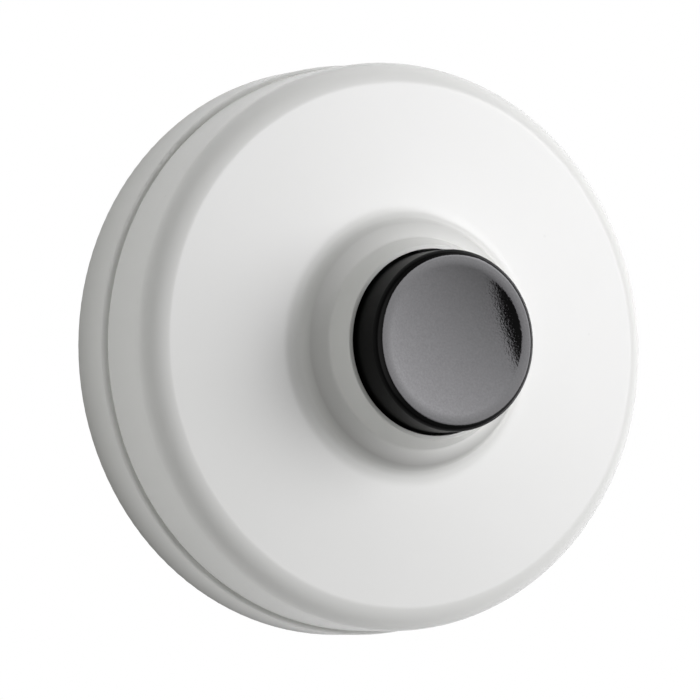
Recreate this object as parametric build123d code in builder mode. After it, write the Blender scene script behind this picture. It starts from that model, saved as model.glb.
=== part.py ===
from build123d import *
import math
import os

# Round surface-mounted bell push: a moulded base that is screwed to the wall, a moulded cover that screws
# onto it, a black push button in the cover's collar, and a leaf contact behind the button.
# Millimetres. +Z is up, the wall is the plane Y = 0 and the front faces -Y.
# A height is a distance in front of the wall. Section points are (radius, height).

# Outer form of base and cover
base_radius = 32.85
base_height = 6.9  # from the wall to the seam
base_edge_round = 0.8  # front edge of the base, beside the seam
base_back_round = 0.4  # edge of the base at the wall
cover_setback = 0.45  # the base stands out round the cover's rim
cover_side_height = 10.2  # from the seam to where side and face would meet in a sharp edge
cover_rim_round = 0.3
cover_side_wall = 2.9
cover_face_wall = 2.8
shoulder_round = 3.1
inner_shoulder_round = 1.4
face_slope = 5.5  # degrees, rising from the shoulder to the collar

# Collar round the button: a soft step, then a narrower lip with the hole in it
collar_height = 5.65  # from the face beside the collar to the lip's edge at the hole
lip_height = 2.95
lip_width = 1.5
lip_land = 0.45  # top of the lip, which falls a little away from the hole
lip_fall = 0.15
lip_edge_round = 0.3
lip_crease_round = 0.8
step_height = 1.3
step_width = 1.75
step_round = 1.0
collar_draft = 33.0  # degrees that the wall of the step leans inwards
collar_sweep_share = 0.8  # part of the step's wall that the concave run from the face takes up
hole_edge_round = 0.1
guide_length = 4.9  # length of the hole that guides the button

# Push button
button_radius = 10.2
button_clearance = 0.3  # beside the button in its hole, and beside its flange
button_stand = 4.8  # rim of the button in front of the collar
button_travel = 2.0
button_rim_round = 0.9
button_wall = 1.7
button_crown = 1.9  # thickness under the deepest point of the dish
dish_radius = 8.7
dish_depth = 0.95
dish_edge_round = 4.0
flange_width = 1.6
flange_thickness = 1.6
sleeve_margin = 0.9  # sleeve behind the flange when the button is pressed home
sleeve_wall = 2.0
stem_radius = 2.3
stem_rib_count = 4
stem_rib_thickness = 1.2
stem_rib_depth = 4.0
stem_rib_root = 0.3  # how far a rib runs into the button's wall

# Inside of the base
recess_depth = 1.2  # hollow back, so that the rim sits flat on the wall
wall_rim_width = 5.5
floor_thickness = 2.8
thread_room = 1.3  # radial room for the threads of base and cover
spigot_height = 5.5  # threaded ring in front of the seam
spigot_wall = 2.9
spigot_edge_round = 0.5
spigot_root_round = 1.0

# Holes to the wall
fixing_spacing = 38.0
fixing_hole_radius = 2.25
fixing_sink_radius = 4.3
fixing_boss_radius = 5.2
fixing_boss_height = 1.0  # in front of the floor
cable_hole_radius = 4.0
cable_hole_offset = 8.5  # below the middle

# Terminals
terminal_spacing = 31.0
pillar_length = 11.0
pillar_width = 10.4
pillar_height = 4.2  # in front of the floor
pillar_round = 2.0
pillar_rib_thickness = 1.2
pillar_rib_height = 1.3
strip_side_clearance = 0.15  # between a strip and the ribs that keep it from turning
screw_radius = 1.75
screw_hole_clearance = 0.2
screw_head_radius = 2.9
screw_head_height = 2.3
screw_head_round = 0.4
screw_slot_width = 0.9
screw_slot_depth = 1.1
screw_slot_angles = (35.0, -20.0)  # degrees, left and right screw
screw_end_length = 0.6  # past the nut
washer_radius = 3.4
washer_thickness = 0.8
nut_flats = 6.0
nut_thickness = 2.8
nut_thread_clearance = 0.05
nut_pocket_clearance = 0.1
nut_seat_thickness = 3.0  # pillar between nut and strip

# Contacts
strip_width = 7.0
strip_thickness = 0.8
strip_corner_round = 1.5
spring_thickness = 0.5
spring_bend_round = 2.5
spring_flat_start = 4.2  # from the middle, on the terminal's side
contact_offset = 6.5  # contact rivets from the middle, on the far side
contact_end_margin = 3.0
contact_radius = 1.6
contact_head_height = 0.75
contact_edge_round = 0.25
contact_shank_radius = 0.8
contact_shank_clearance = 0.05
contact_closing_radius = 1.2
contact_closing_height = 0.3
contact_closed_gap = 0.05  # left between the contacts when the button is pressed home

# Radii and places across the wall that follow from the sizes above
cover_radius = base_radius - cover_setback
cover_bore = cover_radius - cover_side_wall
spigot_radius = cover_bore - thread_room
spigot_bore = spigot_radius - spigot_wall
hole_radius = button_radius + button_clearance
lip_radius = hole_radius + lip_width
collar_radius = lip_radius + step_width
flange_radius = button_radius + flange_width
sleeve_bore = flange_radius + button_clearance
sleeve_radius = sleeve_bore + sleeve_wall
terminal_x = terminal_spacing / 2
strip_foot_x = terminal_x + pillar_length / 2
screw_hole_radius = screw_radius + screw_hole_clearance

# Heights that follow from the sizes above
floor_front = recess_depth + floor_thickness
pillar_top = floor_front + pillar_height
spigot_top = base_height + spigot_height
cover_edge = base_height + cover_side_height
face_rise = (cover_radius - collar_radius) * math.tan(math.radians(face_slope))
collar_top = cover_edge + face_rise + collar_height
lip_foot = collar_top - lip_height
step_edge = lip_foot - step_height
button_seat = collar_top - guide_length
button_rim = collar_top + button_stand
dish_bottom = button_rim - dish_depth
flange_back = button_seat - flange_thickness
sleeve_end = flange_back - button_travel - sleeve_margin
nut_seat = pillar_top - nut_seat_thickness
strip_top = pillar_top + strip_thickness
fixed_contact_top = strip_top + contact_head_height
moving_contact_tip = fixed_contact_top + button_travel + contact_closed_gap
spring_back = moving_contact_tip + contact_head_height
spring_front = spring_back + spring_thickness

# Sections of round pieces are drawn in the plane that holds the button's axis
section = Plane(origin=(0, 0, 0), x_dir=(1, 0, 0), z_dir=(0, 0, -1))
wall = Plane.XZ


def face_height(radius):
    """Height of the cover's sloping face at a radius."""
    return cover_edge + (cover_radius - radius) * math.tan(math.radians(face_slope))


def collar_foot_radius():
    """Radius where the leaning wall of the step would meet the face in a sharp corner."""
    lean = math.tan(math.radians(collar_draft))
    slope = math.tan(math.radians(face_slope))
    drop = step_edge - face_height(collar_radius)
    return collar_radius + drop * lean / (1 - lean * slope)


def collar_sweep_round():
    """Radius of the concave run from the face into the wall of the step."""
    foot = collar_foot_radius()
    wall = math.dist((foot, face_height(foot)), (collar_radius, step_edge))
    turn = math.radians(90 - collar_draft - face_slope)
    return collar_sweep_share * wall / math.tan(turn / 2)


def corners(rows):
    """Points of an outline whose rows are (radius, height, rounding of that corner)."""
    return [(radius, height) for radius, height, rounding in rows]


def rounds(rows):
    """Roundings of the same outline."""
    return [rounding for radius, height, rounding in rows]


# Base: disc with a hollow back, a flange that shows below the cover, and a ring that carries the thread
base_outline = (
    (0, recess_depth, 0),
    (base_radius - wall_rim_width, recess_depth, 0),
    (base_radius - wall_rim_width, 0, 0),
    (base_radius, 0, base_back_round),
    (base_radius, base_height, base_edge_round),
    (spigot_radius, base_height, 0),
    (spigot_radius, spigot_top, spigot_edge_round),
    (spigot_bore, spigot_top, spigot_edge_round),
    (spigot_bore, floor_front, spigot_root_round),
    (0, floor_front, 0),
)
with BuildPart() as base:
    with BuildSketch(section):
        with BuildLine():
            FilletPolyline(corners(base_outline), radius=rounds(base_outline), close=True)
        make_face()
    revolve(axis=Axis.Y)
    # Bosses round the fixing holes, down to the wall so that the screws can't bend the floor
    with BuildSketch(wall):
        with GridLocations(0, fixing_spacing, 1, 2):
            Circle(fixing_boss_radius)
    extrude(amount=floor_front + fixing_boss_height)
    # Terminal pillars, each with two ribs that keep its strip from turning
    with BuildSketch(wall.offset(floor_front)):
        with GridLocations(terminal_spacing, 0, 2, 1):
            RectangleRounded(pillar_length, pillar_width, pillar_round)
    extrude(amount=pillar_height)
    rib_spacing = strip_width + 2 * strip_side_clearance + pillar_rib_thickness
    with BuildSketch(wall.offset(pillar_top)):
        with GridLocations(terminal_spacing, rib_spacing, 2, 2):
            Rectangle(pillar_length - 2 * pillar_round, pillar_rib_thickness)
    extrude(amount=pillar_rib_height)
    # Screw holes through the pillars, and hexagonal pockets for the nuts in the back
    with BuildSketch(wall):
        with GridLocations(terminal_spacing, 0, 2, 1):
            Circle(screw_hole_radius)
    extrude(amount=pillar_top, mode=Mode.SUBTRACT)
    with BuildSketch(wall):
        with GridLocations(terminal_spacing, 0, 2, 1):
            RegularPolygon(nut_flats / 2 + nut_pocket_clearance, 6, major_radius=False)
    extrude(amount=nut_seat, mode=Mode.SUBTRACT)
    # Countersunk fixing holes and the entry for the bell wire
    with Locations(wall.offset(floor_front + fixing_boss_height)):
        with GridLocations(0, fixing_spacing, 1, 2):
            CounterSinkHole(fixing_hole_radius, fixing_sink_radius)
    with Locations(wall.offset(floor_front)):
        with Locations((0, -cable_hole_offset)):
            Hole(cable_hole_radius)

# Cover: one shell from the rim to the lip, with a sleeve inside that guides the button's flange
cover_outline = (
    (cover_bore, base_height, 0),
    (cover_radius, base_height, cover_rim_round),
    (cover_radius, cover_edge, shoulder_round),
    (collar_foot_radius(), face_height(collar_foot_radius()), collar_sweep_round()),
    (collar_radius, step_edge, step_round),
    (lip_radius, lip_foot, lip_crease_round),
    (hole_radius + lip_land, collar_top - lip_fall, lip_edge_round),
    (hole_radius, collar_top, hole_edge_round),
    (hole_radius, button_seat, 0),
    (sleeve_bore, button_seat, 0),
    (sleeve_bore, sleeve_end, 0),
    (sleeve_radius, sleeve_end, 0),
    (sleeve_radius, face_height(sleeve_radius) - cover_face_wall, 0),
    (cover_bore, face_height(cover_bore) - cover_face_wall, inner_shoulder_round),
)
with BuildPart() as cover:
    with BuildSketch(section):
        with BuildLine():
            FilletPolyline(corners(cover_outline), radius=rounds(cover_outline), close=True)
        make_face()
    revolve(axis=Axis.Y)

# Push button: a dished cap with a flange that the sleeve holds back, and a stem that presses the spring
button_bore = button_radius - button_wall
button_ceiling = dish_bottom - button_crown
dish_ball_radius = (dish_radius**2 + dish_depth**2) / (2 * dish_depth)
button_outline = (
    (0, spring_front, 0),
    (stem_radius, spring_front, 0),
    (stem_radius, button_ceiling, 0),
    (button_bore, button_ceiling, 0),
    (button_bore, flange_back, 0),
    (flange_radius, flange_back, 0),
    (flange_radius, button_seat, 0),
    (button_radius, button_seat, 0),
    (button_radius, button_rim, button_rim_round),
    (0, button_rim, 0),
)
with BuildPart() as push_button:
    with BuildSketch(section):
        with BuildLine():
            FilletPolyline(corners(button_outline), radius=rounds(button_outline), close=True)
        make_face()
    revolve(axis=Axis.Y)
    # Ribs that tie the stem to the wall, under the crown
    with BuildSketch(wall.offset(button_ceiling)):
        with PolarLocations(0, stem_rib_count):
            Rectangle(button_bore + stem_rib_root, stem_rib_thickness, align=(Align.MIN, Align.CENTER))
    extrude(amount=-stem_rib_depth)
    # The dish for the finger is cut by a large ball, and its edge is softened
    with Locations((0, -dish_bottom - dish_ball_radius, 0)):
        Sphere(dish_ball_radius, mode=Mode.SUBTRACT)
    front_circles = push_button.edges().filter_by(GeomType.CIRCLE).group_by(Axis.Y)[0]
    fillet(front_circles.sort_by(SortBy.RADIUS)[0], dish_edge_round)

# Contact spring: a bent leaf, clamped at the left terminal, with its free end under the button's stem
with BuildPart() as contact_spring:
    with BuildSketch(section):
        with BuildLine():
            FilletPolyline(
                (-strip_foot_x, pillar_top),
                (pillar_length / 2 - terminal_x, pillar_top),
                (-spring_flat_start, spring_back),
                (contact_offset + contact_end_margin, spring_back),
                radius=spring_bend_round,
            )
            offset(amount=spring_thickness, side=Side.LEFT)
        make_face()
    extrude(amount=strip_width / 2, both=True)
    upright_edges = contact_spring.edges().filter_by(Axis.Y).group_by(Axis.X)
    fillet(upright_edges[0] + upright_edges[-1], strip_corner_round)
    with Locations(wall):
        with Locations((-terminal_x, 0)):
            Hole(screw_hole_radius)
        with Locations((contact_offset, 0)):
            Hole(contact_shank_radius + contact_shank_clearance)

# Contact strip: a flat strip from the right terminal to the fixed contact
strip_end_x = contact_offset - contact_end_margin
with BuildPart() as contact_strip:
    with BuildSketch(wall.offset(pillar_top)):
        with Locations(((strip_end_x + strip_foot_x) / 2, 0)):
            RectangleRounded(strip_foot_x - strip_end_x, strip_width, strip_corner_round)
        with Locations((terminal_x, 0)):
            Circle(screw_hole_radius, mode=Mode.SUBTRACT)
        with Locations((contact_offset, 0)):
            Circle(contact_shank_radius + contact_shank_clearance, mode=Mode.SUBTRACT)
    extrude(amount=strip_thickness)


def rivet_outline(seat, thickness, facing):
    """Half section of a contact rivet that sits on a strip and faces the wall (-1) or the front (1)."""
    tip = seat + facing * contact_head_height
    far_side = seat - facing * thickness
    closed_end = far_side - facing * contact_closing_height
    return (
        (0, tip, 0),
        (contact_radius, tip, contact_edge_round),
        (contact_radius, seat, 0),
        (contact_shank_radius, seat, 0),
        (contact_shank_radius, far_side, 0),
        (contact_closing_radius, far_side, 0),
        (contact_closing_radius, closed_end, contact_edge_round),
        (0, closed_end, 0),
    )


# Contacts: a rivet under the free end of the spring, and one opposite it on the strip
rivet_section = Plane(origin=(contact_offset, 0, 0), x_dir=section.x_dir, z_dir=section.z_dir)
rivet_axis = Axis((contact_offset, 0, 0), (0, 1, 0))
moving_outline = rivet_outline(spring_back, spring_thickness, -1)
fixed_outline = rivet_outline(strip_top, strip_thickness, 1)
with BuildPart() as moving_contact:
    with BuildSketch(rivet_section):
        with BuildLine():
            FilletPolyline(corners(moving_outline), radius=rounds(moving_outline), close=True)
        make_face()
    revolve(axis=rivet_axis)
with BuildPart() as fixed_contact:
    with BuildSketch(rivet_section):
        with BuildLine():
            FilletPolyline(corners(fixed_outline), radius=rounds(fixed_outline), close=True)
        make_face()
    revolve(axis=rivet_axis)

# Terminal hardware, one set at the spring on the left and one at the strip on the right
terminals = (
    (-terminal_x, pillar_top + spring_thickness, screw_slot_angles[0]),
    (terminal_x, strip_top, screw_slot_angles[1]),
)
screw_end = nut_seat - nut_thickness - screw_end_length
with BuildPart() as clamp_washers:
    for x, washer_seat, slot_angle in terminals:
        with BuildSketch(wall.offset(washer_seat)):
            with Locations((x, 0)):
                Circle(washer_radius)
                Circle(screw_hole_radius, mode=Mode.SUBTRACT)
        extrude(amount=washer_thickness)
with BuildPart() as terminal_screws:
    for x, washer_seat, slot_angle in terminals:
        head_seat = washer_seat + washer_thickness
        head_top = head_seat + screw_head_height
        screw_section = Plane(origin=(x, 0, 0), x_dir=section.x_dir, z_dir=section.z_dir)
        screw_outline = (
            (0, head_top, 0),
            (screw_head_radius, head_top, screw_head_round),
            (screw_head_radius, head_seat, 0),
            (screw_radius, head_seat, 0),
            (screw_radius, screw_end, 0),
            (0, screw_end, 0),
        )
        with BuildSketch(screw_section):
            with BuildLine():
                FilletPolyline(corners(screw_outline), radius=rounds(screw_outline), close=True)
            make_face()
        revolve(axis=Axis((x, 0, 0), (0, 1, 0)))
        with BuildSketch(wall.offset(head_top)):
            with Locations(Location((x, 0), slot_angle)):
                Rectangle(2 * screw_head_radius, screw_slot_width)
        extrude(amount=-screw_slot_depth, mode=Mode.SUBTRACT)
with BuildPart() as terminal_nuts:
    with BuildSketch(wall.offset(nut_seat)):
        with GridLocations(terminal_spacing, 0, 2, 1):
            RegularPolygon(nut_flats / 2, 6, major_radius=False)
            Circle(screw_radius + nut_thread_clearance, mode=Mode.SUBTRACT)
    extrude(amount=-nut_thickness)

nodes = {
    "base": base,
    "cover": cover,
    "push_button": push_button,
    "contact_spring": contact_spring,
    "contact_strip": contact_strip,
    "moving_contact": moving_contact,
    "fixed_contact": fixed_contact,
    "clamp_washers": clamp_washers,
    "terminal_screws": terminal_screws,
    "terminal_nuts": terminal_nuts,
}
os.makedirs("parts", exist_ok=True)
for name, node in nodes.items():
    node.part.label = name
    export_step(node.part, f"parts/{name}.step")
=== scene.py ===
# %% [markdown]
# A round bell push for a wall: a white moulded base and cover, a black push button in the cover's
# collar, and a leaf contact inside that the button closes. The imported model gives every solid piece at
# its real size and place. This lesson lights it, gives each surface its finish, and adds what is too
# fine for the solids: threads, chamfers, fine edges, dust, and the grain of the mouldings and metals.

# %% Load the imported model
import math

import bmesh
import bpy
from mathutils import Matrix, Vector


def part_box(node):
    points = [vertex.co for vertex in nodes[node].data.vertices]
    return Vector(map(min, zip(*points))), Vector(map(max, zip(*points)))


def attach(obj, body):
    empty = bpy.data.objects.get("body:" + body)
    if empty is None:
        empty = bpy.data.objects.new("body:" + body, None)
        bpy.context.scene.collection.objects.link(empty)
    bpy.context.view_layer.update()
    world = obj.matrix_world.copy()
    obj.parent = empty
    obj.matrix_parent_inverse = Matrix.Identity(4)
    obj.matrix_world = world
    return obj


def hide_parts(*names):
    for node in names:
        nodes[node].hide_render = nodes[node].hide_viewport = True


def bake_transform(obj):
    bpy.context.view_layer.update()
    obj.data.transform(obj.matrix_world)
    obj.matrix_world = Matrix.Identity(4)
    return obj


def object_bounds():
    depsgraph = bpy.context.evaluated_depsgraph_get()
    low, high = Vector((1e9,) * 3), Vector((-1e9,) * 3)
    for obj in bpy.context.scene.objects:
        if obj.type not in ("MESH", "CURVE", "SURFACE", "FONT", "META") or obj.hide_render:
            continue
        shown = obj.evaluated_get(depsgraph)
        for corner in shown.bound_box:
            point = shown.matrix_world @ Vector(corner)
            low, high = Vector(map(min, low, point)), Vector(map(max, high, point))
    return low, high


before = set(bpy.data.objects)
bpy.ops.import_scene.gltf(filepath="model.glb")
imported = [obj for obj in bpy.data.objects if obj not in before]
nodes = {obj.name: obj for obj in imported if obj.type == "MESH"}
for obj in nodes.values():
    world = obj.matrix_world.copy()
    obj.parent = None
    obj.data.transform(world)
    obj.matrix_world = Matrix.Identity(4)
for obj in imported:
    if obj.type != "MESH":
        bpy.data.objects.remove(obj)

scene = bpy.context.scene
cad_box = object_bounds()
MM = 0.001
print("nodes:", sorted(nodes))
print("box in mm:", [[round(x / MM, 2) for x in corner] for corner in cad_box])

# %% [markdown]
# The camera looks at the push from the left and from slightly below, through a long lens, so the circles
# turn into narrow ellipses with hardly any perspective. It could be placed by eye, but the ellipses of
# the rims give the angles: how flat they are gives the azimuth, and how they lean gives the elevation.
# It is aimed a little beside the middle of the push instead of being shifted, so that views from other
# sides stay centred.

# %% Camera
CAMERA_AZIMUTH = math.radians(-28.64)
CAMERA_ELEVATION = math.radians(-3.0)
CAMERA_DISTANCE = 589.3 * MM
CAMERA_LENS = 265.1
CAMERA_SENSOR = 36.0
CAMERA_NEAR = 10 * MM
LOOK_AT = Vector((0, -12 * MM, 0))
AIM_LEFT = 3.68 * MM
AIM_DOWN = 0.31 * MM


def direction(azimuth, elevation):
    """Unit vector towards an azimuth (0 is the front, positive to the right) and an elevation."""
    flat = math.cos(elevation)
    return Vector((math.sin(azimuth) * flat, -math.cos(azimuth) * flat, math.sin(elevation)))


def place_facing(obj, place, towards):
    """Puts a camera or a lamp at a place, with its -Z axis pointing at another."""
    obj.location = place
    obj.rotation_euler = (place - towards).to_track_quat("Z", "Y").to_euler()
    scene.collection.objects.link(obj)


to_camera = direction(CAMERA_AZIMUTH, CAMERA_ELEVATION)
camera_right = Vector((math.cos(CAMERA_AZIMUTH), math.sin(CAMERA_AZIMUTH), 0))
camera_up = to_camera.cross(camera_right)
camera_data = bpy.data.cameras.new("camera")
camera_data.lens = CAMERA_LENS
camera_data.sensor_width = CAMERA_SENSOR
camera_data.clip_start = CAMERA_NEAR
camera = bpy.data.objects.new("camera", camera_data)
aim = LOOK_AT - AIM_LEFT * camera_right - AIM_DOWN * camera_up
place_facing(camera, LOOK_AT + CAMERA_DISTANCE * to_camera, aim)
scene.camera = camera
scene.view_settings.view_transform = "Standard"
print("camera at", [round(x / MM) for x in camera.location], "mm")

# %% [markdown]
# Every finish in this lesson is made of shader nodes, which need no image files and stay sharp from
# close by. Nodes could be added and linked one line at a time, but a few helpers keep the finishes
# readable: they add a node with its sockets set or linked by name, and mix two shaders.

# %% Helpers for shader nodes


def put(tree, socket, value):
    """Links a socket to another socket, or sets it to a plain value."""
    if isinstance(value, bpy.types.NodeSocket):
        tree.links.new(value, socket)
    else:
        socket.default_value = value


def add(tree, kind, **values):
    """Adds a shader node and sets or links its sockets by name, with _ for a space."""
    node = tree.nodes.new("ShaderNode" + kind)
    for name, value in values.items():
        put(tree, node.inputs[name.replace("_", " ")], value)
    return node


def mixed_shader(tree, share, first, second):
    """One shader where a share is 0, and another where it is 1."""
    mix = add(tree, "MixShader", Fac=share)
    put(tree, mix.inputs[1], first)
    put(tree, mix.inputs[2], second)
    return mix.outputs["Shader"]


def grey(value):
    return (value, value, value, 1.0)


print("helpers:", ", ".join(helper.__name__ for helper in (put, add, mixed_shader, grey)))

# %% [markdown]
# The push is a thing for a wall, so a white card stands right behind it, where the wall would be, and a
# pale floor lies under its rim. A real wall would need even light to look plain white. Here a light path
# test gives the camera plain white and keeps the shading for the push. Their rear is clear, so the back
# of the push can be looked at too.

# %% Finish of card and floor
CARD_WHITE = 0.8
CARD_GLOW = 0.25
FLOOR_WHITE = 0.8


def stage_finish(name, white, glow=0.0):
    """Plain white to the camera, clear from behind, and matt white with a glow to all other light."""
    material = bpy.data.materials.new(name)
    material.use_nodes = True
    tree = material.node_tree
    tree.nodes.clear()
    matt = add(tree, "BsdfDiffuse", Color=grey(white))
    lamp = add(tree, "Emission", Strength=glow)
    lit = add(tree, "AddShader")
    put(tree, lit.inputs[0], matt.outputs["BSDF"])
    put(tree, lit.inputs[1], lamp.outputs["Emission"])
    plain = add(tree, "Emission", Strength=1.0)
    clear = add(tree, "BsdfTransparent")
    to_eye = add(tree, "LightPath").outputs["Is Camera Ray"]
    behind = add(tree, "NewGeometry").outputs["Backfacing"]
    front = mixed_shader(tree, to_eye, lit.outputs["Shader"], plain.outputs["Emission"])
    one_sided = mixed_shader(tree, behind, front, clear.outputs["BSDF"])
    add(tree, "OutputMaterial", Surface=one_sided)
    return material


card_finish = stage_finish("card", CARD_WHITE, CARD_GLOW)
floor_finish = stage_finish("floor", FLOOR_WHITE)
print("stage finishes:", card_finish.name, floor_finish.name)

# %% [markdown]
# The card throws light back onto the sides, and glows a little itself, as a wall in a bright room does.
# It could be one square, but a round hole in it, a little smaller than the base, leaves the back of the
# push open. The floor is for the camera only: it neither throws light back nor casts a shadow.

# %% Card and floor
CARD_HOLE = 32.6 * MM
CARD_RADIUS = 1.2
CARD_GAP = 0.1 * MM
CARD_STEPS = 128
FLOOR_SIDE = 1.5
FLOOR_GAP = 0.05 * MM


def stage_piece(name, points, faces, material):
    mesh = bpy.data.meshes.new(name)
    mesh.from_pydata(points, [], faces)
    mesh.materials.append(material)
    piece = bpy.data.objects.new(name, mesh)
    scene.collection.objects.link(piece)
    return piece


turns = [2 * math.pi * step / CARD_STEPS for step in range(CARD_STEPS)]
card_points = [
    (radius * math.cos(turn), CARD_GAP, radius * math.sin(turn))
    for radius in (CARD_HOLE, CARD_RADIUS)
    for turn in turns
]
card_faces = []
for step in range(CARD_STEPS):
    following = (step + 1) % CARD_STEPS
    card_faces.append((step, CARD_STEPS + step, CARD_STEPS + following, following))
card = stage_piece("card", card_points, card_faces, card_finish)
floor_z = cad_box[0].z - FLOOR_GAP
floor_corners = ((-1, -1), (1, -1), (1, 1), (-1, 1))
floor_points = [(FLOOR_SIDE * x, FLOOR_SIDE * y, floor_z) for x, y in floor_corners]
floor = stage_piece("floor", floor_points, [(0, 1, 2, 3)], floor_finish)
for kind in ("diffuse", "glossy", "transmission", "shadow"):
    setattr(floor, "visible_" + kind, False)
facing = [round(x) for x in card.data.polygons[0].normal]
print("card faces", facing, "floor at", round(floor_z / MM, 2), "mm")

# %% [markdown]
# Light and marks change from place to place, so their nodes need some arithmetic: a sum or a product, a
# value carried from one range to another, or one part of a direction. The nodes could be wired one by
# one, but helpers that add one step each and hand back its result let the steps be written like a
# formula.

# %% Helpers for values that change


def calculate(tree, operation, *values):
    """One step of arithmetic on sockets or numbers, and its result."""
    step = tree.nodes.new("ShaderNodeMath")
    step.operation = operation
    for socket, value in zip(step.inputs, values):
        put(tree, socket, value)
    return step.outputs["Value"]


def mapped(tree, value, start=0.0, end=1.0, low=0.0, high=1.0, smooth=False):
    """A value that runs from start to end, carried to a range from low to high and held there."""
    node = add(tree, "MapRange", Value=value, From_Min=start, From_Max=end, To_Min=low, To_Max=high)
    if smooth:
        node.interpolation_type = "SMOOTHSTEP"
    return node.outputs["Result"]


def axes(tree, place):
    """The X, Y and Z sockets of a place, by name."""
    return add(tree, "SeparateXYZ", Vector=place).outputs


print("helpers:", ", ".join(helper.__name__ for helper in (calculate, mapped, axes)))

# %% [markdown]
# One large softbox hangs in front and to the right, brightest at its upper right corner. Its reflection
# is what makes the black button grey, and its left edge bounds the dark streak inside the dish, so its
# place and roll can be read from the button. Several small lamps could light the push too, but each
# would show as a spot. A second softbox behind the card shapes the back.

# %% Softboxes
LAMP_COLOUR = (1.0, 0.992, 1.03)
SOFTBOXES = {
    # name: azimuth, elevation and roll in degrees, distance, width and height in metres,
    # radiance at the lower left and at the upper right
    "key": (34, 5.6, 20, 0.62, 0.52, 0.50, 1.3, 7.0),
    "rear": (150, 35, 0, 0.80, 0.60, 0.60, 1.6, 1.6),
}


def softbox(name, azimuth, elevation, roll, distance, width, height, low, high):
    lamp = bpy.data.lights.new(name, "AREA")
    lamp.shape = "RECTANGLE"
    lamp.size = width
    lamp.size_y = height
    lamp.energy = math.pi * width * height
    lamp.color = LAMP_COLOUR
    lamp.use_nodes = True
    tree = lamp.node_tree
    spot = axes(tree, add(tree, "NewGeometry").outputs["Parametric"])
    corner_to_corner = calculate(tree, "ADD", spot["X"], spot["Y"])
    strength = mapped(tree, corner_to_corner, end=2.0, low=low, high=high)
    put(tree, tree.nodes["Emission"].inputs["Strength"], strength)
    box = bpy.data.objects.new(name, lamp)
    towards = direction(math.radians(azimuth), math.radians(elevation))
    place_facing(box, LOOK_AT + distance * towards, LOOK_AT)
    box.rotation_euler.rotate_axis("Z", math.radians(roll))
    box.visible_camera = False
    return box


for name, values in SOFTBOXES.items():
    box = softbox(name, *values)
    print(name, "softbox at", [round(x, 2) for x in box.location], "m")

# %% [markdown]
# The rest of the studio is a world of soft gradients. In front it is dim, so that the streak in the dish
# stays dark. From level with the wall and behind it, pale light reaches the sides, less of it from above
# and least from below. Three spills fill in beside the softbox, at the front left and at the far left.
# Lamps could do this too, but they would show in the button as spots.

# %% World
WORLD_DIM = 0.08
WORLD_SIDE = 0.9
WORLD_TOP = 0.6
WORLD_BELOW = 0.4
# parts of a unit direction: its Z where the lower shade fades out, and its Y where the ring sets in
SHADE_RANGE = (-0.9, -0.1)
RING_RANGE = (-0.26, -0.06)
# direction (azimuth, elevation) in degrees, cosine where the spill starts, radiance at its middle
SPILLS = ((62, 10, 0.60, 0.5), (-40, 0, 0.60, 0.28), (-90, -20, 0.60, 0.3))

world = bpy.data.worlds.new("studio")
scene.world = world
world.use_nodes = True
tree = world.node_tree
tree.nodes.clear()
around = add(tree, "TexCoord").outputs["Generated"]
towards = axes(tree, around)
ring = mapped(tree, calculate(tree, "ABSOLUTE", towards["Z"]), low=WORLD_SIDE, high=WORLD_TOP)
shade = mapped(tree, towards["Z"], *SHADE_RANGE, low=WORLD_BELOW)
shaded_ring = calculate(tree, "MULTIPLY", ring, shade)
level = mapped(tree, towards["Y"], *RING_RANGE, low=WORLD_DIM, high=shaded_ring)
for azimuth, elevation, start, radiance in SPILLS:
    aligned = add(tree, "VectorMath")
    aligned.operation = "DOT_PRODUCT"
    put(tree, aligned.inputs[0], around)
    put(tree, aligned.inputs[1], direction(math.radians(azimuth), math.radians(elevation)))
    spill = mapped(tree, aligned.outputs["Value"], start=start, high=radiance, smooth=True)
    level = calculate(tree, "ADD", level, spill)
studio = add(tree, "Background", Strength=level)
plain = add(tree, "Background", Color=grey(1.0))
to_eye = add(tree, "LightPath").outputs["Is Camera Ray"]
backdrop = mixed_shader(tree, to_eye, studio.outputs["Background"], plain.outputs["Background"])
add(tree, "OutputWorld", Surface=backdrop)
print("world made of a ring and", len(SPILLS), "spills, in", len(tree.nodes), "nodes")

# %% [markdown]
# Base, cover and button are moulded, so they share the marks of a mould: broad clouds where the filler
# flowed, the faint orange peel of the skin, and a stray speck of dust. It could be built twice, for the
# white and for the black, but a shader group holds it once, and each material takes its own sizes and
# strengths of it.

# %% Shader group: moulded skin
SKIN_SCALES = {"Cloud Scale": 70.0, "Peel Scale": 1500.0, "Speck Scale": 500.0}
CLOUD_DETAIL = 3.0
PEEL_DETAIL = 2.0
SPECK_EDGE = (0.06, 0.12)
SPECK_RARITY = 0.985


def start_group(name, inputs, outputs):
    """A new shader group with number inputs {name: usual value} and number outputs."""
    tree = bpy.data.node_groups.new(name, "ShaderNodeTree")
    for label, usual in inputs.items():
        socket = tree.interface.new_socket(label, in_out="INPUT", socket_type="NodeSocketFloat")
        socket.default_value = usual
    for label in outputs:
        tree.interface.new_socket(label, in_out="OUTPUT", socket_type="NodeSocketFloat")
    return tree, tree.nodes.new("NodeGroupInput"), tree.nodes.new("NodeGroupOutput")


def own_place(tree):
    """The place on the surface, in metres from the frame's origin."""
    return add(tree, "TexCoord").outputs["Object"]


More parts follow.
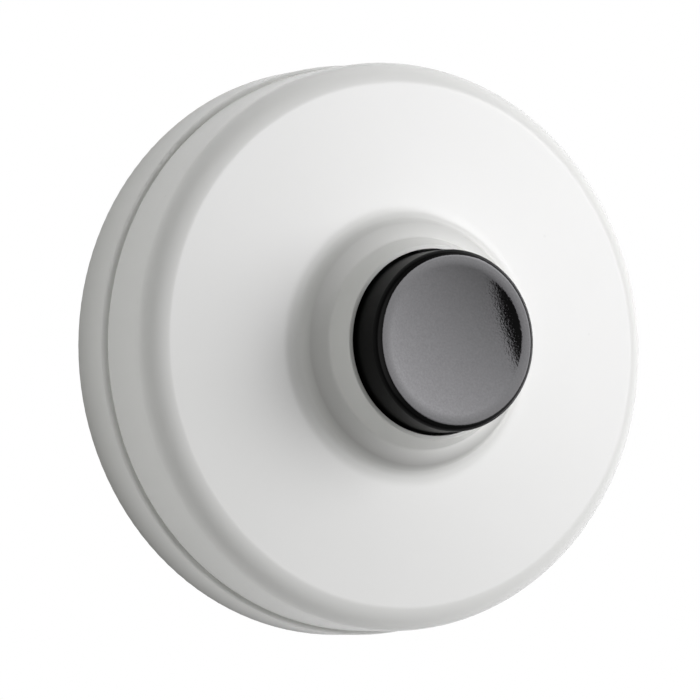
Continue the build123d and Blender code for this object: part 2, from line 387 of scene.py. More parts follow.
skin, given, result = start_group("moulded skin", SKIN_SCALES, ("Clouds", "Peel", "Specks"))
place = own_place(skin)
clouds = add(skin, "TexNoise", Vector=place, Scale=given.outputs["Cloud Scale"], Detail=CLOUD_DETAIL)
peel = add(skin, "TexNoise", Vector=place, Scale=given.outputs["Peel Scale"], Detail=PEEL_DETAIL)
cells = add(skin, "TexVoronoi", Vector=place, Scale=given.outputs["Speck Scale"])
cell_colour = add(skin, "SeparateColor", Color=cells.outputs["Color"])
near_middle = mapped(skin, cells.outputs["Distance"], *SPECK_EDGE, low=1.0, high=0.0)
chosen = calculate(skin, "GREATER_THAN", cell_colour.outputs["Red"], SPECK_RARITY)
put(skin, result.inputs["Clouds"], clouds.outputs["Fac"])
put(skin, result.inputs["Peel"], peel.outputs["Fac"])
put(skin, result.inputs["Specks"], calculate(skin, "MULTIPLY", near_middle, chosen))
print("group", skin.name, "with", len(skin.nodes), "nodes")

# %% [markdown]
# Spring and strip are cut from rolled metal, and screws and contacts from drawn rod. Both leave fine
# lines along the metal, and air and fingers leave darker patches. Each metal could have its own nodes
# for that, but a second group gives both, so that the four metals can share it and differ in colour and
# gloss.

# %% Shader group: metal skin
METAL_SCALES = {"Line Scale": 2500.0, "Patch Scale": 260.0}
LINE_STRETCH = (0.05, 1.0, 1.0)
LINE_DETAIL = 3.0
PATCH_DETAIL = 4.0
PATCH_RANGE = (0.45, 0.75)

metal_skin, given, result = start_group("metal skin", METAL_SCALES, ("Lines", "Patches"))
place = own_place(metal_skin)
drawn_out = add(metal_skin, "Mapping", Vector=place, Scale=LINE_STRETCH).outputs["Vector"]
lines = add(metal_skin, "TexNoise", Vector=drawn_out, Scale=given.outputs["Line Scale"], Detail=LINE_DETAIL)
spots = add(metal_skin, "TexNoise", Vector=place, Scale=given.outputs["Patch Scale"], Detail=PATCH_DETAIL)
put(metal_skin, result.inputs["Lines"], lines.outputs["Fac"])
put(metal_skin, result.inputs["Patches"], mapped(metal_skin, spots.outputs["Fac"], *PATCH_RANGE, smooth=True))
print("group", metal_skin.name, "with", len(metal_skin.nodes), "nodes")

# %% [markdown]
# Every material of the push is built the same way: a shader, a group of marks, colours blended by the
# marks, and a ripple of the surface. The steps could be repeated for each, but as helpers they are
# written once.

# %% Helpers for materials


def start_material(name):
    material = bpy.data.materials.new(name)
    material.use_nodes = True
    return material, material.node_tree, material.node_tree.nodes["Principled BSDF"]


def place_group(tree, group, **values):
    """Puts a shader group into a material, with its inputs set by name."""
    node = tree.nodes.new("ShaderNodeGroup")
    node.node_tree = group
    for name, value in values.items():
        put(tree, node.inputs[name.replace("_", " ")], value)
    return node


def blended(tree, share, first, second):
    """A colour between two colours, each of them a socket or three numbers."""
    mix = tree.nodes.new("ShaderNodeMix")
    mix.data_type = "RGBA"
    put(tree, mix.inputs["Factor"], share)
    for socket, colour in ((mix.inputs[6], first), (mix.inputs[7], second)):
        put(tree, socket, colour if isinstance(colour, bpy.types.NodeSocket) else (*colour, 1.0))
    return mix.outputs[2]


def rippled(tree, height, depth):
    """The normal of a surface bent by a height, whose full range is a depth in metres."""
    return add(tree, "Bump", Strength=1.0, Distance=depth, Height=height).outputs["Normal"]


def axis_distance(tree):
    """Distance from the axis of the push, in metres."""
    place = axes(tree, own_place(tree))
    squares = [calculate(tree, "MULTIPLY", place[axis], place[axis]) for axis in "XZ"]
    return calculate(tree, "SQRT", calculate(tree, "ADD", *squares))


material_helpers = (start_material, place_group, blended, rippled, axis_distance)
print("helpers:", ", ".join(helper.__name__ for helper in material_helpers))

# %% [markdown]
# Painted shade greys the white mouldings: a painted shadow along the rim at the wall, and painted shade
# on the step round the collar, most of it low down. It could be painted on by hand, but the push is
# round, so the distances from the wall and from the axis say where it lies. Only the white mouldings
# show it, so it isn't a group.

# %% Painted shade on the white mouldings
BASE_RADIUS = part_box("base")[1].x
WALL_SHADE_REACH = 6.0 * MM
# powers of the nearness to the wall, each with its share of the painted shade
WALL_SHADE_SHARES = ((1.3, 0.58), (20.0, 0.5))
# heights from the axis between which the painted shade grows from its least to its full share
WALL_SHADE_HEIGHTS = (15 * MM, -22 * MM)
WALL_SHADE_LEAST = 0.1
# depths inside the base's outline where the painted shade starts and is full
WALL_SHADE_SKIN = (0.5 * MM, 0.1 * MM)
# radii where the painted shade on the step starts, is darkest and ends, and the height that the step lies
# above
STEP_SHADE_RADII = (12.2 * MM, 13.7 * MM, 14.4 * MM)
STEP_SHADE_HEIGHT = 17.5 * MM
STEP_SHADE_FADE = 0.5 * MM
STEP_SHADE_SHARES = (0.16, 0.48)


def wall_painted_shade(tree):
    """Painted shadow where a moulding meets the wall, as a share from 0 to 1."""
    place = axes(tree, own_place(tree))
    # painted shadow: darker close to the wall, and most of all low down
    near = mapped(tree, place["Y"], start=-WALL_SHADE_REACH, end=0.0)
    low_down = mapped(tree, place["Z"], *WALL_SHADE_HEIGHTS, low=WALL_SHADE_LEAST)
    skin_start, skin_full = WALL_SHADE_SKIN
    outside = mapped(tree, axis_distance(tree), BASE_RADIUS - skin_start, BASE_RADIUS - skin_full)
    shares = [
        calculate(tree, "MULTIPLY", calculate(tree, "POWER", near, power), share)
        for power, share in WALL_SHADE_SHARES
    ]
    reached = calculate(tree, "MULTIPLY", low_down, outside)
    return calculate(tree, "MULTIPLY", calculate(tree, "ADD", *shares), reached)


def step_painted_shade(tree):
    """Painted shade on the step round the collar, as a share from 0 to 1."""
    # painted shade: darker on the step round the collar, more of it low down
    inner, middle, outer = STEP_SHADE_RADII
    place = axes(tree, own_place(tree))
    radius = axis_distance(tree)
    rising = mapped(tree, radius, inner, middle)
    falling = mapped(tree, radius, outer, middle)
    front = mapped(tree, place["Y"], -STEP_SHADE_HEIGHT, -STEP_SHADE_HEIGHT - STEP_SHADE_FADE)
    low_down = mapped(tree, place["Z"], outer, -outer, *STEP_SHADE_SHARES)
    ring = calculate(tree, "MINIMUM", rising, falling)
    return calculate(tree, "MULTIPLY", calculate(tree, "MULTIPLY", ring, front), low_down)


print("dust reaches", WALL_SHADE_REACH / MM, "mm from the wall")

# %% [markdown]
# Base and cover are ivory white and glossy, and the button is black. Each moulding mixes two close tones
# of its colour by the clouds, darkens the specks, and lets the peel ripple both the gloss and the
# surface. One plain colour each would do from far away, but close by the small unevenness is what tells
# a moulding from a drawing.

# %% Mouldings
WHITE_TONES = ((0.815, 0.822, 0.785), (0.845, 0.848, 0.815))
# dark tone of the specks, also the tone of the painted shade on the white
WHITE_SPECK_AND_SHADE = (0.16, 0.155, 0.145)
WHITE_GLOSS = (0.21, 0.29)
WHITE_PEEL = (1500.0, 0.0015 * MM)
BLACK_TONES = ((0.001, 0.001, 0.001), (0.003, 0.003, 0.003))
BLACK_SPECK = (0.05, 0.05, 0.05)
BLACK_GLOSS = (0.04, 0.09)
BLACK_PEEL = (5200.0, 0.0025 * MM)
SPECK_SHARE = 0.06


def moulding(name, tones, speck_and_shade_tone, gloss, peel, painted_shades=()):
    """A moulded finish; gloss is a range of roughness, and peel a scale and a depth."""
    material, tree, shader = start_material(name)
    peel_scale, peel_depth = peel
    marks = place_group(tree, skin, Peel_Scale=peel_scale)
    cloudy = blended(tree, marks.outputs["Clouds"], *tones)
    faint = calculate(tree, "MULTIPLY", marks.outputs["Specks"], SPECK_SHARE)
    colour = blended(tree, faint, cloudy, speck_and_shade_tone)
    # painted shade: each mask darkens the colour towards the speck tone
    for painted_shade in painted_shades:
        colour = blended(tree, painted_shade(tree), colour, speck_and_shade_tone)
    put(tree, shader.inputs["Base Color"], colour)
    put(tree, shader.inputs["Roughness"], mapped(tree, marks.outputs["Peel"], 0.0, 1.0, *gloss))
    put(tree, shader.inputs["Normal"], rippled(tree, marks.outputs["Peel"], peel_depth))
    return material


white_look = (WHITE_TONES, WHITE_SPECK_AND_SHADE, WHITE_GLOSS, WHITE_PEEL)
black_look = (BLACK_TONES, BLACK_SPECK, BLACK_GLOSS, BLACK_PEEL)
finishes = {
    # the white mouldings get painted shade at the wall and on the collar's step
    "white_moulding": moulding("white moulding", *white_look, painted_shades=(wall_painted_shade, step_painted_shade)),
    "black_moulding": moulding("black moulding", *black_look),
}
print("mouldings:", list(finishes))

# %% [markdown]
# The mould was polished for the top of the button only, so its sides are duller. A clear coat inside the
# rim stands for the polish. A mirror would be too clean: the real polish keeps a fine grain, which frays
# the edge of the dark streak. The coat has a normal of its own, so the grain goes there and leaves the
# black below it alone.

# %% Polish of the button
POLISH_RADIUS = 9.95 * MM
POLISH_FADE = 0.1 * MM
POLISH_WEIGHTS = (0.60, 0.92)
SIDE_DULL = 0.28
GRAIN_SCALE = 4400.0
GRAIN_DETAIL = 2.0
GRAIN_DEPTH = 0.0075 * MM
POLISH_VALUES = {"Specular IOR Level": 0.06, "Coat Roughness": 0.04, "Coat IOR": 1.6}

tree = finishes["black_moulding"].node_tree
shader = tree.nodes["Principled BSDF"]
grain = add(tree, "TexNoise", Vector=own_place(tree), Scale=GRAIN_SCALE, Detail=GRAIN_DETAIL).outputs["Fac"]
on_top = mapped(tree, axis_distance(tree), POLISH_RADIUS, POLISH_RADIUS - POLISH_FADE)
mottled = mapped(tree, grain, 0.0, 1.0, *POLISH_WEIGHTS)
put(tree, shader.inputs["Coat Weight"], calculate(tree, "MULTIPLY", on_top, mottled))
put(tree, shader.inputs["Coat Normal"], rippled(tree, grain, GRAIN_DEPTH))
gloss = shader.inputs["Roughness"].links[0].from_socket
duller = calculate(tree, "MULTIPLY", calculate(tree, "SUBTRACT", 1.0, on_top), SIDE_DULL)
put(tree, shader.inputs["Roughness"], calculate(tree, "ADD", gloss, duller))
for label, value in POLISH_VALUES.items():
    shader.inputs[label].default_value = value
print("polished out to", POLISH_RADIUS / MM, "mm")

# %% [markdown]
# The metals mix a clean and a tarnished tone by the patches, and the rolled lines make the gloss uneven
# along the strip. One even colour each could do while the cover hides them, but it lifts off and shows
# them up close. Screws are turned round, so the nickel gets fine rings about each terminal instead of
# bump from the lines. The two terminals mirror each other, which lets one formula serve both.

# %% Metals
screw_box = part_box("terminal_screws")
SCREW_HEAD_RADIUS = (screw_box[1].z - screw_box[0].z) / 2
TERMINAL_X = screw_box[1].x - SCREW_HEAD_RADIUS
RING_STEP = 0.22 * MM
RING_HEIGHTS = (0.5, 1.0)
METAL_DEPTH = 0.002 * MM
METALS = {
    # slot: clean tone, tarnished tone, range of roughness, whether it has rings
    "spring_bronze": ((0.72, 0.45, 0.24), (0.50, 0.29, 0.15), (0.18, 0.36), False),
    "contact_brass": ((0.80, 0.62, 0.30), (0.58, 0.42, 0.20), (0.20, 0.40), False),
    "contact_silver": ((0.88, 0.87, 0.83), (0.62, 0.58, 0.50), (0.16, 0.30), False),
    "screw_nickel": ((0.70, 0.66, 0.59), (0.52, 0.48, 0.41), (0.20, 0.38), True),
}


def terminal_rings(tree):
    """Fine rings round the nearer terminal, as a height between the two ring heights."""
    place = axes(tree, own_place(tree))
    beside = calculate(tree, "SUBTRACT", calculate(tree, "ABSOLUTE", place["X"]), TERMINAL_X)
    squares = [calculate(tree, "MULTIPLY", part, part) for part in (beside, place["Z"])]
    radius = calculate(tree, "SQRT", calculate(tree, "ADD", *squares))
    wave = calculate(tree, "SINE", calculate(tree, "MULTIPLY", radius, 2 * math.pi / RING_STEP))
    return mapped(tree, wave, 0.0, 1.0, *RING_HEIGHTS)


def metal(name, clean, tarnished, gloss, rings):
    """A metal finish from two tones and a range of roughness."""
    material, tree, shader = start_material(name)
    marks = place_group(tree, metal_skin)
    height = terminal_rings(tree) if rings else marks.outputs["Lines"]
    put(tree, shader.inputs["Base Color"], blended(tree, marks.outputs["Patches"], clean, tarnished))
    put(tree, shader.inputs["Roughness"], mapped(tree, marks.outputs["Lines"], 0.0, 1.0, *gloss))
    put(tree, shader.inputs["Normal"], rippled(tree, height, METAL_DEPTH))
    shader.inputs["Metallic"].default_value = 1.0
    return material


for slot, values in METALS.items():
    finishes[slot] = metal(slot.replace("_", " "), *values)
print("metals:", list(METALS))

# %% [markdown]
# Cover and button are round, and their gloss shows every flaw of a coarse mesh. They are drawn again
# here as outlines of (radius, height, rounding) rows, as on a drawing. A Screw modifier could spin such
# an outline, but then the normals would be averaged from the faces. Here each run of the outline knows
# its exact normal, so the reflections are as smooth as on a turned piece. This step turns the rows into
# points with their normals.

# %% Points along an outline
ARC_STEPS = 10
SOFT_TURN = math.radians(15)


def turned_normal(normal, angle):
    return Matrix.Rotation(angle, 2) @ normal


def stations(rows):
    """Points along a closed outline in mm, each with the normals of the run before and after it."""
    points = [Vector((radius, height)) for radius, height, rounding in rows]
    area = sum(a.x * b.y - b.x * a.y for a, b in zip(points, points[1:] + points[:1]))
    side = math.copysign(1, area)
    found = []
    for index, (radius, height, rounding) in enumerate(rows):
        here = points[index]
        before = (here - points[index - 1]).normalized()
        after = (points[(index + 1) % len(points)] - here).normalized()
        turn = math.atan2(before.x * after.y - before.y * after.x, before.dot(after))
        first = side * Vector((before.y, -before.x))
        last = turned_normal(first, turn)
        if rounding == 0:
            middle = turned_normal(first, turn / 2)
            found.append((here, middle, middle) if abs(turn) < SOFT_TURN else (here, first, last))
            continue
        bend = math.copysign(rounding, side * turn)
        centre = here - before * rounding * math.tan(abs(turn) / 2) - bend * first
        for step in range(ARC_STEPS + 1):
            normal = turned_normal(first, turn * step / ARC_STEPS)
            found.append((centre + bend * normal, normal, normal))
    return found if side > 0 else [(point, last, first) for point, first, last in reversed(found)]


print("each rounding has", ARC_STEPS, "steps")

# %% [markdown]
# The points are then spun about the push's axis into rings of faces. Where the outline touches the axis,
# as in the middle of the dish, a ring shrinks to one point and its faces to triangles. The exact normals
# go along with the corners, and every finished piece is tied to the body that it moves with.

# %% Spinning an outline
TURN_STEPS = 192
ON_AXIS = 1e-6


def spun(point, angle):
    """A point or normal of the outline, turned about the push's axis."""
    return Vector((point.x * math.cos(angle), -point.y, point.x * math.sin(angle)))


def spin(rows):
    """Vertices, faces and corner normals of an outline spun about the axis, in metres."""
    angles = [2 * math.pi * step / TURN_STEPS for step in range(TURN_STEPS)]
    found = stations(rows)
    vertices, faces, normals, rings = [], [], [], []
    for point, first, last in found:
        ring_angles = angles[:1] if abs(point.x) < ON_AXIS else angles
        rings.append([len(vertices) + step % len(ring_angles) for step in range(TURN_STEPS)])
        vertices += [spun(point * MM, angle) for angle in ring_angles]
    for index, (point, first, last) in enumerate(found):
        following = (index + 1) % len(found)
        near, far = rings[index], rings[following]
        next_first = found[following][1]
        for step in range(TURN_STEPS):
            beyond = (step + 1) % TURN_STEPS
            corners = (
                (near[step], last, step),
                (near[beyond], last, beyond),
                (far[beyond], next_first, beyond),
                (far[step], next_first, step),
            )
            kept = [corner for k, corner in enumerate(corners) if corner[0] != corners[k - 1][0]]
            if len(kept) < 3:
                continue
            faces.append([vertex for vertex, normal, turn in kept])
            normals += [spun(normal, angles[turn]) for vertex, normal, turn in kept]
    return vertices, faces, normals


def piece(name, vertices, faces, slot, body, normals=None):
    """A new piece with the finish of a slot, riding on a body."""
    mesh = bpy.data.meshes.new(name)
    mesh.from_pydata(vertices, [], faces)
    mesh.shade_smooth()
    if normals:
        mesh.normals_split_custom_set(normals)
    mesh.materials.append(finishes[slot])
    made = bpy.data.objects.new(name, mesh)
    scene.collection.objects.link(made)
    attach(made, body)
    print(name, "has", len(mesh.vertices), "vertices and", len(mesh.polygons), "faces")
    return made


print("each ring has", TURN_STEPS, "steps")

# %% [markdown]
# The cover is one shell. From its rim it goes up the side, round the shoulder and over a gently rising
# face. A hollow sweep, tight at the wall and wide at the face, leads into the collar, which climbs in a
# soft step and a short lip to the button's hole. Inside, a sleeve keeps the button's flange. The solid's
# own mesh could be kept, but its facets would show in the gloss. The outer sizes come from the packed
# model, and the steps of the collar repeat the drawing.

# %% Sizes of the cover
cover_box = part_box("cover")
COVER_RADIUS = cover_box[1].x / MM
COVER_RIM = -cover_box[1].y / MM
COVER_EDGE = 17.1
COVER_WALL = 2.9
COVER_BORE = COVER_RADIUS - COVER_WALL
FACE_RISE = math.tan(math.radians(5.5))
FACE_WALL = 2.8
COLLAR_HEIGHT = 5.65
COLLAR_LEAN = math.tan(math.radians(33))
HOLE_RADIUS = 10.5
LIP_LAND = 0.45
LIP_FALL = 0.15
LIP_WIDTH = 1.5
LIP_HEIGHT = 2.95
STEP_WIDTH = 1.75
STEP_HEIGHT = 1.3
SEAT_DEPTH = 4.9
SLEEVE_LENGTH = 4.5
SLEEVE_BORE = 12.1
SLEEVE_RADIUS = 14.1
# the sweep starts at a share of the wall's height and ends beyond the wall's foot
SWEEP_SHARE = 0.15
SWEEP_REACH = 0.98
RIM_ROUND = 0.3
SHOULDER_ROUND = 3.1
SWEEP_ROUND = 6.4
SWEEP_TIGHT_ROUND = 1.5
STEP_ROUND = 1.0
LIP_FOOT_ROUND = 0.8
LIP_ROUND = 0.3
HOLE_ROUND = 0.1
INNER_ROUND = 1.4


def face_height(radius):
    return COVER_EDGE + (COVER_RADIUS - radius) * FACE_RISE


LIP_RADIUS = HOLE_RADIUS + LIP_WIDTH
STEP_RADIUS = LIP_RADIUS + STEP_WIDTH
COLLAR_TOP = face_height(STEP_RADIUS) + COLLAR_HEIGHT
LIP_FOOT = COLLAR_TOP - LIP_HEIGHT
STEP_EDGE = LIP_FOOT - STEP_HEIGHT
BUTTON_SEAT = COLLAR_TOP - SEAT_DEPTH
SLEEVE_END = BUTTON_SEAT - SLEEVE_LENGTH
collar_wall = (STEP_EDGE - face_height(STEP_RADIUS)) / (1 - COLLAR_LEAN * FACE_RISE)
collar_foot = STEP_RADIUS + collar_wall * COLLAR_LEAN
sweep_start = collar_foot - SWEEP_SHARE * collar_wall * COLLAR_LEAN
sweep_height = face_height(collar_foot) + SWEEP_SHARE * collar_wall
sweep_end = collar_foot + SWEEP_REACH
print("collar from", round(face_height(collar_foot), 2), "to", round(COLLAR_TOP, 2), "mm above the wall")

# %% [markdown]
# The rows follow the cover's section once round, from the inside of the rim over the outside and back
# along the inside. The last number of each row is the rounding of that corner, as a moulder would note
# it on the drawing.

# %% Cover
cover_outline = (
    (COVER_BORE, COVER_RIM, 0),
    (COVER_RADIUS, COVER_RIM, RIM_ROUND),
    (COVER_RADIUS, COVER_EDGE, SHOULDER_ROUND),
    (sweep_end, face_height(sweep_end), SWEEP_ROUND),
    (sweep_start, sweep_height, SWEEP_TIGHT_ROUND),
    (STEP_RADIUS, STEP_EDGE, STEP_ROUND),
    (LIP_RADIUS, LIP_FOOT, LIP_FOOT_ROUND),
    (HOLE_RADIUS + LIP_LAND, COLLAR_TOP - LIP_FALL, LIP_ROUND),
    (HOLE_RADIUS, COLLAR_TOP, HOLE_ROUND),
    (HOLE_RADIUS, BUTTON_SEAT, 0),
    (SLEEVE_BORE, BUTTON_SEAT, 0),
    (SLEEVE_BORE, SLEEVE_END, 0),
    (SLEEVE_RADIUS, SLEEVE_END, 0),
    (SLEEVE_RADIUS, face_height(SLEEVE_RADIUS) - FACE_WALL, 0),
    (COVER_BORE, face_height(COVER_BORE) - FACE_WALL, INNER_ROUND),
)
cover_vertices, cover_faces, cover_normals = spin(cover_outline)
cover = piece("moulded_cover", cover_vertices, cover_faces, "white_moulding", "cover", cover_normals)
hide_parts("cover")

# %% [markdown]
# The button is a cap with a tight round at its rim and a shallow dish for the fingertip. The dish is
# part of a large ball. A ball could be cut out of the cap, but here the outline is a run of points on an
# arc, close enough for their normals to be shared. A flange keeps the button from falling out, and a
# stem in the middle reaches down to the spring.

# %% Outline of the push button
button_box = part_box("push_button")
BUTTON_GAP = 0.3
BUTTON_RADIUS = HOLE_RADIUS - BUTTON_GAP
BUTTON_REACH = 4.8
BUTTON_RIM = COLLAR_TOP + BUTTON_REACH
BUTTON_WALL = 1.7
BUTTON_BORE = BUTTON_RADIUS - BUTTON_WALL
DISH_RADIUS = 8.7
DISH_DEPTH = 0.95
DISH_STEPS = 24
DISH_BALL = (DISH_RADIUS**2 + DISH_DEPTH**2) / (2 * DISH_DEPTH)
DISH_WALL = 1.9
BUTTON_CEILING = BUTTON_RIM - DISH_DEPTH - DISH_WALL
FLANGE_RADIUS = button_box[1].x / MM
FLANGE_THICKNESS = 1.6
FLANGE_BACK = BUTTON_SEAT - FLANGE_THICKNESS
STEM_RADIUS = 2.3
BUTTON_ROUND = 0.9
DISH_ROUND = 4.0
STEM_END = -button_box[1].y / MM


def dish_height(radius):
    """Height of the dish at a radius."""
    return BUTTON_RIM - DISH_DEPTH + DISH_BALL - math.sqrt(DISH_BALL**2 - radius**2)


dish_radii = [DISH_RADIUS * step / DISH_STEPS for step in range(DISH_STEPS - 2, -1, -1)]
button_outline = [
    (0, STEM_END, 0),
    (STEM_RADIUS, STEM_END, 0),
    (STEM_RADIUS, BUTTON_CEILING, 0),
    (BUTTON_BORE, BUTTON_CEILING, 0),
    (BUTTON_BORE, FLANGE_BACK, 0),
    (FLANGE_RADIUS, FLANGE_BACK, 0),
    (FLANGE_RADIUS, BUTTON_SEAT, 0),
    (BUTTON_RADIUS, BUTTON_SEAT, 0),
    (BUTTON_RADIUS, BUTTON_RIM, BUTTON_ROUND),
    (DISH_RADIUS, BUTTON_RIM, DISH_ROUND),
]
button_outline += [(radius, dish_height(radius), 0) for radius in dish_radii]
button_vertices, button_faces, button_normals = spin(button_outline)
print("button outline of", len(button_outline), "rows")

# %% [markdown]
# Four flat ribs hold the stem inside the cap. They could be pieces of their own, but the real button is
# moulded in one, so four boxes join its mesh, each turned by a quarter and running from inside the stem
# into the wall.

# %% Ribs and button
RIB_COUNT = 4
RIB_THICKNESS = 1.2
RIB_DEPTH = 4.0
RIB_BITE = 0.3

rib_start = STEM_RADIUS / 2
rib_length = BUTTON_BORE + RIB_BITE - rib_start
rib_size = Vector((rib_length, RIB_DEPTH, RIB_THICKNESS)) * MM
rib_middle = Vector((rib_start + rib_length / 2, RIB_DEPTH / 2 - BUTTON_CEILING, 0)) * MM
for quarter in range(RIB_COUNT):
    turn = Matrix.Rotation(2 * math.pi * quarter / RIB_COUNT, 3, "Y")
    rib = bmesh.new()
    bmesh.ops.create_cube(rib, size=1.0)
    rib.transform((turn @ Matrix.Diagonal(rib_size)).to_4x4())
    bmesh.ops.translate(rib, verts=rib.verts, vec=turn @ rib_middle)
    rib.normal_update()
    first_vertex = len(button_vertices)
    button_vertices += [vertex.co.copy() for vertex in rib.verts]
    for face in rib.faces:
        button_faces.append([first_vertex + vertex.index for vertex in face.verts])
        button_normals += [face.normal.copy()] * len(face.verts)
    rib.free()
button = piece("moulded_button", button_vertices, button_faces, "black_moulding", "button", button_normals)
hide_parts("push_button")

# %% [markdown]
# Cover and base are joined by a coarse moulded thread, and the terminal screws have a fine one. A Screw
# modifier could turn such ridges, but a moulded thread also runs out to nothing at both ends. So a blunt
# four-sided profile is carried along a helix here, and its crest sinks to the root where the ridge
# starts and ends.

# %% A ridge on a helix
RUN_OUT = 0.12
RIDGE_STEPS = 120
CRISP_DEGREES = 35


def ridge_profile(root, top, root_width, crest_width):
    """The four corners of a ridge, as (radius, height)."""
    return (
        (root, -root_width / 2),
        (top, -crest_width / 2),
        (top, crest_width / 2),
        (root, root_width / 2),
    )


def helix_ridge(
    root, crest, start, pitch, turns, root_width, crest_width, centre=0.0, steps_per_turn=RIDGE_STEPS
):
    """Vertices and faces of a ridge on a helix, from a root radius to a crest radius, given in mm."""
    steps = round(turns * steps_per_turn)
    aside = Vector((centre, 0, 0))
    vertices, faces = [], []
    for step in range(steps + 1):
        along = step / steps_per_turn
        fade = min(1.0, along / RUN_OUT, (turns - along) / RUN_OUT)
        top = root + (crest - root) * max(fade, 0.0)
        height = start + pitch * along
        angle = 2 * math.pi * along
        profile = ridge_profile(root, top, root_width, crest_width)
        vertices += [(spun(Vector((radius, height + up)), angle) + aside) * MM for radius, up in profile]
    count = len(profile)
    for step in range(steps):
        near, far = step * count, (step + 1) * count
        for side in range(count):
            beside = (side + 1) % count
            corners = (near + side, near + beside, far + beside, far + side)
            faces.append(corners if crest > root else corners[::-1])
    ends = (tuple(reversed(range(count))), tuple(steps * count + side for side in range(count)))
    faces += ends if crest > root else [end[::-1] for end in ends]
    return vertices, faces


def crisp(made, degrees=CRISP_DEGREES):
    """Keeps the edges of a piece sharp where its faces meet at more than an angle."""
    made.data.set_sharp_from_angle(angle=math.radians(degrees))


print("a ridge runs out over", RUN_OUT, "turns")

# %% [markdown]
# The solids of base and cover leave a gap for their thread, and the ridges are added here, each sunk a
# little into its wall so that no gap shows. They keep half a pitch apart, so that they interlock when
# the cover is home.

# %% Moulded threads
THREAD_PITCH = 2.8
THREAD_TURNS = 1.4
THREAD_HEIGHT = 1.0
THREAD_SINK = 0.05
THREAD_ROOT_WIDTH = 1.3
THREAD_CREST_WIDTH = 0.6
THREAD_LEAD = 0.9
THREAD_START = COVER_RIM + THREAD_LEAD
SPIGOT_GAP = 1.3
SPIGOT_RADIUS = COVER_BORE - SPIGOT_GAP

thread_form = (THREAD_PITCH, THREAD_TURNS, THREAD_ROOT_WIDTH, THREAD_CREST_WIDTH)
base_radii = (SPIGOT_RADIUS - THREAD_SINK, SPIGOT_RADIUS + THREAD_HEIGHT)
cover_radii = (COVER_BORE + THREAD_SINK, COVER_BORE - THREAD_HEIGHT)
base_ridge = helix_ridge(*base_radii, THREAD_START, *thread_form)
cover_ridge = helix_ridge(*cover_radii, THREAD_START + THREAD_PITCH / 2, *thread_form)
crisp(piece("base_thread", *base_ridge, "white_moulding", "base"))
crisp(piece("cover_thread", *cover_ridge, "white_moulding", "cover"))

# %% [markdown]
# The contact spring is a bent bronze leaf. One end is clamped at the left terminal, and the other goes
# in with the button, so it can't ride on one body only. Bones or a blend between the two bodies could
# bend it. Here it takes the solid's own shape, cut into short lengths.

# %% Contact spring
LEAF_CUT = 0.5 * MM
WELD_REACH = 0.001 * MM
FLAT_ANGLE = math.radians(1)

leaf_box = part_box("contact_spring")
leaf_mesh = bmesh.new()
leaf_mesh.from_mesh(nodes["contact_spring"].data)
bmesh.ops.remove_doubles(leaf_mesh, verts=leaf_mesh.verts, dist=WELD_REACH)
bmesh.ops.dissolve_limit(leaf_mesh, angle_limit=FLAT_ANGLE, verts=leaf_mesh.verts, edges=leaf_mesh.edges)
cut_count = int((leaf_box[1].x - leaf_box[0].x) / LEAF_CUT)
for cut in range(1, cut_count):
    everything = leaf_mesh.verts[:] + leaf_mesh.edges[:] + leaf_mesh.faces[:]
    cut_place = (leaf_box[0].x + cut * LEAF_CUT, 0, 0)
    bmesh.ops.bisect_plane(leaf_mesh, geom=everything, plane_co=cut_place, plane_no=(1, 0, 0))
bmesh.ops.triangulate(leaf_mesh, faces=leaf_mesh.faces)
leaf_data = bpy.data.meshes.new("bent_leaf")
leaf_mesh.to_mesh(leaf_data)
leaf_mesh.free()
leaf_data.shade_smooth()
leaf_data.materials.clear()
leaf_data.materials.append(finishes["spring_bronze"])
leaf = bpy.data.objects.new("bent_leaf", leaf_data)
scene.collection.objects.link(leaf)
crisp(leaf)
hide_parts("contact_spring")
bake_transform(leaf)
print("leaf has", len(leaf_data.vertices), "vertices")

# %% [markdown]
# Each terminal has a hexagon nut in a pocket at the back. The nuts get what real ones have: corners
# chamfered by a cone on both faces, and a countersunk bore. They could be cut with booleans, but here
# every corner of the hexagon is worked out from the angle, which needs no cutting and leaves clean
# faces.

# %% Terminal nuts
nut_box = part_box("terminal_nuts")
NUT_HALF = (nut_box[1].z - nut_box[0].z) / 2 / MM
NUT_LOW = -nut_box[1].y / MM
NUT_HIGH = -nut_box[0].y / MM
NUT_BORE = 1.8
NUT_SINK = 0.25
NUT_CHAMFER_SHARE = 0.99
NUT_CHAMFER_RADIUS = NUT_HALF * NUT_CHAMFER_SHARE
NUT_CHAMFER_SLOPE = math.tan(math.radians(30))
NUT_STEPS = 96
NUT_CRISP = 25
SIXTH = math.pi / 3


def nut_profile(angle):
    """The section of a nut at an angle from the middle of a flat, as (radius, height) corners in mm."""
    in_flat = (angle + SIXTH / 2) % SIXTH - SIXTH / 2
    outer = NUT_HALF / math.cos(in_flat)
    drop = max(0.0, outer - NUT_CHAMFER_RADIUS) * NUT_CHAMFER_SLOPE
    inner = min(outer, NUT_CHAMFER_RADIUS)
    return (
        (NUT_BORE, NUT_LOW + NUT_SINK),
        (NUT_BORE + NUT_SINK, NUT_LOW),
        (inner, NUT_LOW),
        (outer, NUT_LOW + drop),
        (outer, NUT_HIGH - drop),
        (inner, NUT_HIGH),
        (NUT_BORE + NUT_SINK, NUT_HIGH),
        (NUT_BORE, NUT_HIGH - NUT_SINK),
    )


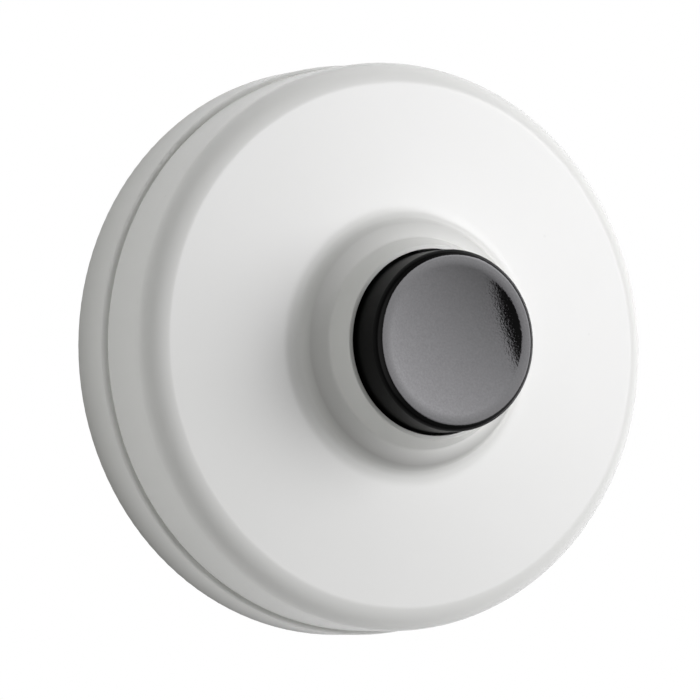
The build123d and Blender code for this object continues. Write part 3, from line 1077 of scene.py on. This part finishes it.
def chamfered_nut(centre):
    """Vertices and faces of a hexagon nut about a terminal."""
    aside = Vector((centre, 0, 0))
    vertices, faces = [], []
    for step in range(NUT_STEPS):
        angle = 2 * math.pi * step / NUT_STEPS
        profile = nut_profile(angle)
        turned = angle + math.pi / 2
        vertices += [(spun(Vector(corner), turned) + aside) * MM for corner in profile]
    count = len(profile)
    for step in range(NUT_STEPS):
        near, far = step * count, (step + 1) % NUT_STEPS * count
        for side in range(count):
            beside = (side + 1) % count
            faces.append((near + side, far + side, far + beside, near + beside))
    return vertices, faces


def joined(parts):
    """Several lists of vertices and faces as one."""
    vertices, faces = [], []
    for part_vertices, part_faces in parts:
        faces += [[len(vertices) + corner for corner in face] for face in part_faces]
        vertices += part_vertices
    return vertices, faces


terminal_places = (-TERMINAL_X / MM, TERMINAL_X / MM)
nuts = piece("chamfered_nuts", *joined([chamfered_nut(x) for x in terminal_places]), "contact_brass", "base")
crisp(nuts, NUT_CRISP)
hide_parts("terminal_nuts")

# %% [markdown]
# The terminal screws keep their slotted heads from the solids, which have plain shanks. A real shank is
# cut with a fine thread, so each gets a fine ridge on a helix that starts near its end and climbs
# towards the head. The thread could be cut into the shank, but a ridge leaves the solid as it is.

# %% Screw threads
SCREW_RADIUS = 1.75
SCREW_END = -screw_box[1].y / MM
SCREW_PITCH = 0.6
SCREW_TURNS = 9.0
SCREW_SINK = 0.05
SCREW_HEIGHT = 0.15
SCREW_LEAD = 0.3
SCREW_ROOT_WIDTH = 0.5
SCREW_CREST_WIDTH = 0.1
SCREW_STEPS = 48

screw_radii = (SCREW_RADIUS - SCREW_SINK, SCREW_RADIUS + SCREW_HEIGHT)
screw_form = (SCREW_END + SCREW_LEAD, SCREW_PITCH, SCREW_TURNS, SCREW_ROOT_WIDTH, SCREW_CREST_WIDTH)
shank_ridges = [helix_ridge(*screw_radii, *screw_form, x, SCREW_STEPS) for x in terminal_places]
crisp(piece("screw_threads", *joined(shank_ridges), "screw_nickel", "base"))

# %% [markdown]
# The other solids could be drawn again like the cover, but little of them shows and their faces are
# mostly flat, so they keep their own meshes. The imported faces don't share their corners, so modifiers
# weld these, split the mesh again at its real edges only, and even out the normals. Strip, washers and
# screws also get a small bevel that catches the light as a real edge does.

# %% Pieces that keep their solids
BEVELS = {"contact_strip": 0.1 * MM, "clamp_washers": 0.12 * MM, "terminal_screws": 0.08 * MM}
BEVEL_SEGMENTS = 2
BEVEL_ANGLE = math.radians(50)
SPLIT_ANGLE = math.radians(35)
EVEN_WEIGHT = 100

kept_solids = ("base", "contact_strip", "moving_contact", "fixed_contact", "clamp_washers", "terminal_screws")
for name in kept_solids:
    node = nodes[name]
    node.data.materials[0] = finishes[node.data.materials[0].name]
    node.data.shade_smooth()
    weld = node.modifiers.new("weld", "WELD")
    weld.merge_threshold = WELD_REACH
    if name in BEVELS:
        bevel = node.modifiers.new("bevel", "BEVEL")
        bevel.width = BEVELS[name]
        bevel.segments = BEVEL_SEGMENTS
        bevel.angle_limit = BEVEL_ANGLE
    split = node.modifiers.new("split", "EDGE_SPLIT")
    split.split_angle = SPLIT_ANGLE
    even = node.modifiers.new("even", "WEIGHTED_NORMAL")
    even.weight = EVEN_WEIGHT
print("kept:", ", ".join(kept_solids))
